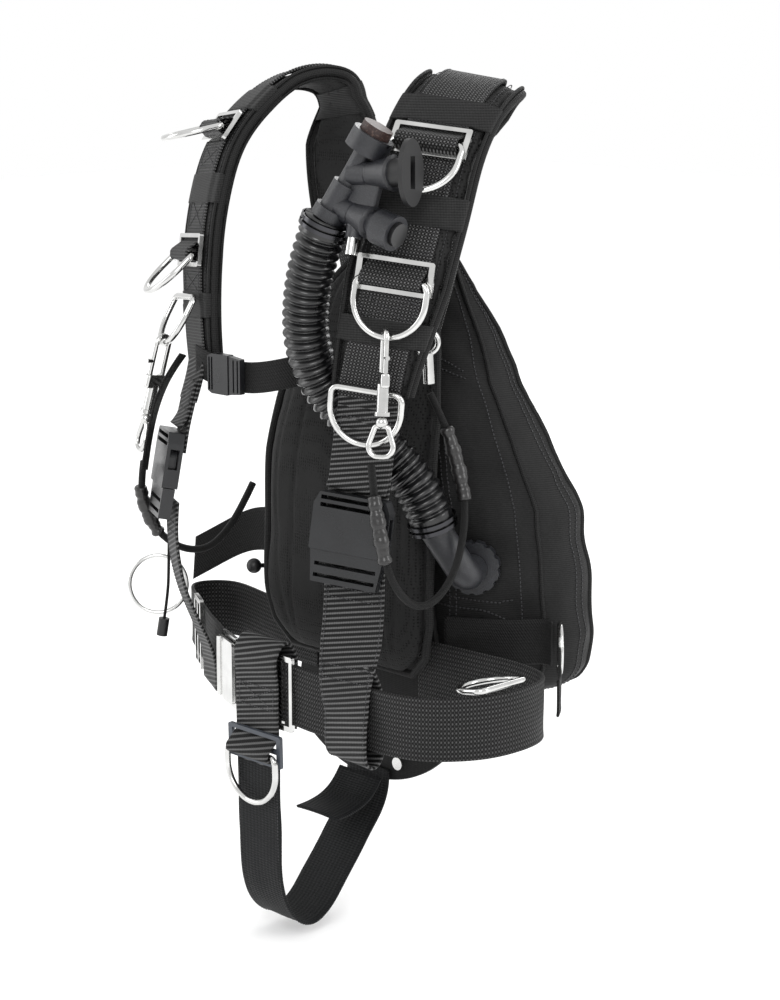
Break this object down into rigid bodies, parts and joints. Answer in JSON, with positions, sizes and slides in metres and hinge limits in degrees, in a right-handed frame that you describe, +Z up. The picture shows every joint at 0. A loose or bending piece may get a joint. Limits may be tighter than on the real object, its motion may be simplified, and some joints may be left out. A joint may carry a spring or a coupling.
{
  "type": "buoyancy compensator vest",
  "caption": "Sidemount diving harness vest with padded shoulder straps, rear air wing, power inflator, waist and crotch straps, and metal rings for clipping on cylinders.",
  "frame": {"origin": "midway between the undersides of the two shoulder straps, where the vest hangs on the shoulders", "axes": "+Z up, +X towards the wearer's left, -Y towards the chest"},
  "size_m": [0.4435, 0.2708, 0.6928],
  "materials": {
    "cordura": "black coated nylon pack cloth",
    "mesh": "black spacer mesh over foam",
    "webbing": "black woven nylon webbing with a slight sheen",
    "belt_webbing": "charcoal basket-weave nylon webbing",
    "wing_cloth": "black ribbed nylon",
    "stainless": "polished stainless steel",
    "casing": "fine-grained black plastic",
    "buckle_plastic": "satin black acetal",
    "slider_plastic": "grey plastic",
    "button_worn": "worn brown-red plastic",
    "soft_rubber": "matte black rubber",
    "hose_rubber": "glossy black corrugated rubber",
    "cord": "black braided elastic cord",
    "sleeve": "black heat-shrink tube"
  },
  "bodies": {
    "harness": {"back_pad": "mesh", "belt_keepers": "stainless", "buckle_female_left": "buckle_plastic", "buckle_female_right": "buckle_plastic", "bungee_left": "cord", "bungee_right": "cord", "bungee_sleeves": "sleeve", "chest_buckle_female": "buckle_plastic", "chest_strap": "webbing", "corner_straps": "webbing", "corrugated_hose": "hose_rubber", "crotch_slider": "slider_plastic", "crotch_strap": "webbing", "drop_strap_left": "webbing", "drop_strap_right": "webbing", "dump_valve": "buckle_plastic", "hose_clamps": "stainless", "hose_elbow": "casing", "inflator_body": "casing", "inflator_nipple": "stainless", "lumbar_plate": "cordura", "mouthpiece": "soft_rubber", "pad_ring_left": "stainless", "pad_ring_right": "stainless", "plate_screws": "stainless", "rear_snap": "stainless", "shoulder_pad_left": "mesh", "shoulder_pad_right": "mesh", "shoulder_webbing_left": "webbing", "shoulder_webbing_right": "webbing", "snap_body_left": "stainless", "snap_body_right": "stainless", "strap_slides_left": "stainless", "strap_slides_right": "stainless", "toggle_cord": "cord", "toggle_knob": "buckle_plastic", "waist_belt": "belt_webbing", "waist_buckle_frame": "stainless", "wing_corner_ring": "stainless", "wing_flange": "casing", "wing_shell": "wing_cloth"},
    "upper_left_ring": {"ring_upper_left": "stainless"},
    "upper_right_ring": {"ring_upper_right": "stainless"},
    "lower_left_ring": {"ring_lower_left": "stainless"},
    "lower_right_ring": {"ring_lower_right": "stainless"},
    "crotch_d_ring": {"crotch_ring": "stainless"},
    "left_hip_ring": {"hip_ring_left": "stainless"},
    "right_hip_ring": {"hip_ring_right": "stainless"},
    "waist_lever": {"waist_buckle_lever": "stainless"},
    "left_drop_plug": {"buckle_male_left": "buckle_plastic"},
    "right_drop_plug": {"buckle_male_right": "buckle_plastic"},
    "chest_plug": {"chest_buckle_male": "buckle_plastic"},
    "inflate_button": {"power_button": "casing"},
    "dump_button": {"deflate_button": "button_worn"},
    "left_snap_gate": {"snap_gate_left": "stainless"},
    "left_snap_eye": {"snap_eye_left": "stainless"},
    "right_snap_gate": {"snap_gate_right": "stainless"},
    "right_snap_eye": {"snap_eye_right": "stainless"},
    "valve_pull": {"dump_pull": "buckle_plastic"}
  },
  "joints": [
    {"name": "ring_upper_left_swing", "type": "hinge", "parent": "harness", "child": "upper_left_ring", "pos_m": [0.12122, -0.08194, -0.02951], "axis": [0.9016, 0.4198, -0.1041], "range_deg": [-0.5, 0]},
    {"name": "ring_upper_right_swing", "type": "hinge", "parent": "harness", "child": "upper_right_ring", "pos_m": [-0.12122, -0.08194, -0.02951], "axis": [0.9016, -0.4198, 0.1041], "range_deg": [-45, 36]},
    {"name": "ring_lower_left_swing", "type": "hinge", "parent": "harness", "child": "lower_left_ring", "pos_m": [0.1198, -0.11781, -0.13093], "axis": [0.9016, 0.4209, -0.0995], "range_deg": [-1.5, 0]},
    {"name": "ring_lower_right_swing", "type": "hinge", "parent": "harness", "child": "lower_right_ring", "pos_m": [-0.1198, -0.11781, -0.13093], "axis": [0.9016, -0.4209, 0.0995], "range_deg": [-45, 34]},
    {"name": "crotch_ring_swing", "type": "hinge", "parent": "harness", "child": "crotch_d_ring", "pos_m": [0, -0.15824, -0.51828], "axis": [1, 0, 0], "range_deg": [-80, 0]},
    {"name": "hip_ring_left_swing", "type": "hinge", "parent": "harness", "child": "left_hip_ring", "pos_m": [0.21449, -0.09376, -0.43043], "axis": [-0.048, -0.9988, -0.0096], "range_deg": [-30, 6]},
    {"name": "hip_ring_right_swing", "type": "hinge", "parent": "harness", "child": "right_hip_ring", "pos_m": [-0.20655, -0.08045, -0.40551], "axis": [0.7071, 0.7071, 0], "range_deg": [-12, 12]},
    {"name": "waist_lever_flip", "type": "hinge", "parent": "harness", "child": "waist_lever", "pos_m": [-0.06208, -0.13638, -0.46321], "axis": [0, 0, 1], "range_deg": [-85, 0]},
    {"name": "drop_buckle_left_release", "type": "slide", "parent": "harness", "child": "left_drop_plug", "axis": [-0.0477, -0.1319, -0.9901], "range_m": [0, 0.026]},
    {"name": "drop_buckle_right_release", "type": "slide", "parent": "harness", "child": "right_drop_plug", "axis": [-0.029, -0.1982, -0.9797], "range_m": [0, 0.026]},
    {"name": "chest_buckle_release", "type": "slide", "parent": "harness", "child": "chest_plug", "axis": [0.9995, 0.0325, 0], "range_m": [0, 0.014]},
    {"name": "inflate_button_press", "type": "slide", "parent": "harness", "child": "inflate_button", "axis": [-0.9529, -0.1099, 0.2826], "range_m": [0, 0.003], "stiffness_N_per_m": 600},
    {"name": "deflate_button_press", "type": "slide", "parent": "harness", "child": "dump_button", "axis": [-0.4356, -0.2489, -0.865], "range_m": [0, 0.004], "stiffness_N_per_m": 600},
    {"name": "snap_gate_left_pull", "type": "slide", "parent": "harness", "child": "left_snap_gate", "axis": [0.0496, -0.1092, -0.9928], "range_m": [0, 0.008], "stiffness_N_per_m": 300},
    {"name": "snap_swivel_left", "type": "hinge", "parent": "harness", "child": "left_snap_eye", "pos_m": [0.11978, -0.12478, -0.17265], "axis": [-0.0496, 0.1092, 0.9928], "range_deg": [-25, 25]},
    {"name": "snap_gate_right_pull", "type": "slide", "parent": "harness", "child": "right_snap_gate", "axis": [-0.1653, -0.1653, -0.9723], "range_m": [0, 0.008], "stiffness_N_per_m": 300},
    {"name": "snap_swivel_right", "type": "hinge", "parent": "harness", "child": "right_snap_eye", "pos_m": [-0.11831, -0.14322, -0.2014], "axis": [0.1653, 0.1653, 0.9723], "range_deg": [-25, 25]},
    {"name": "dump_valve_pull", "type": "slide", "parent": "harness", "child": "valve_pull", "axis": [0.0194, -0.9877, 0.1549], "range_m": [0, 0.01], "stiffness_N_per_m": 150}
  ]
}
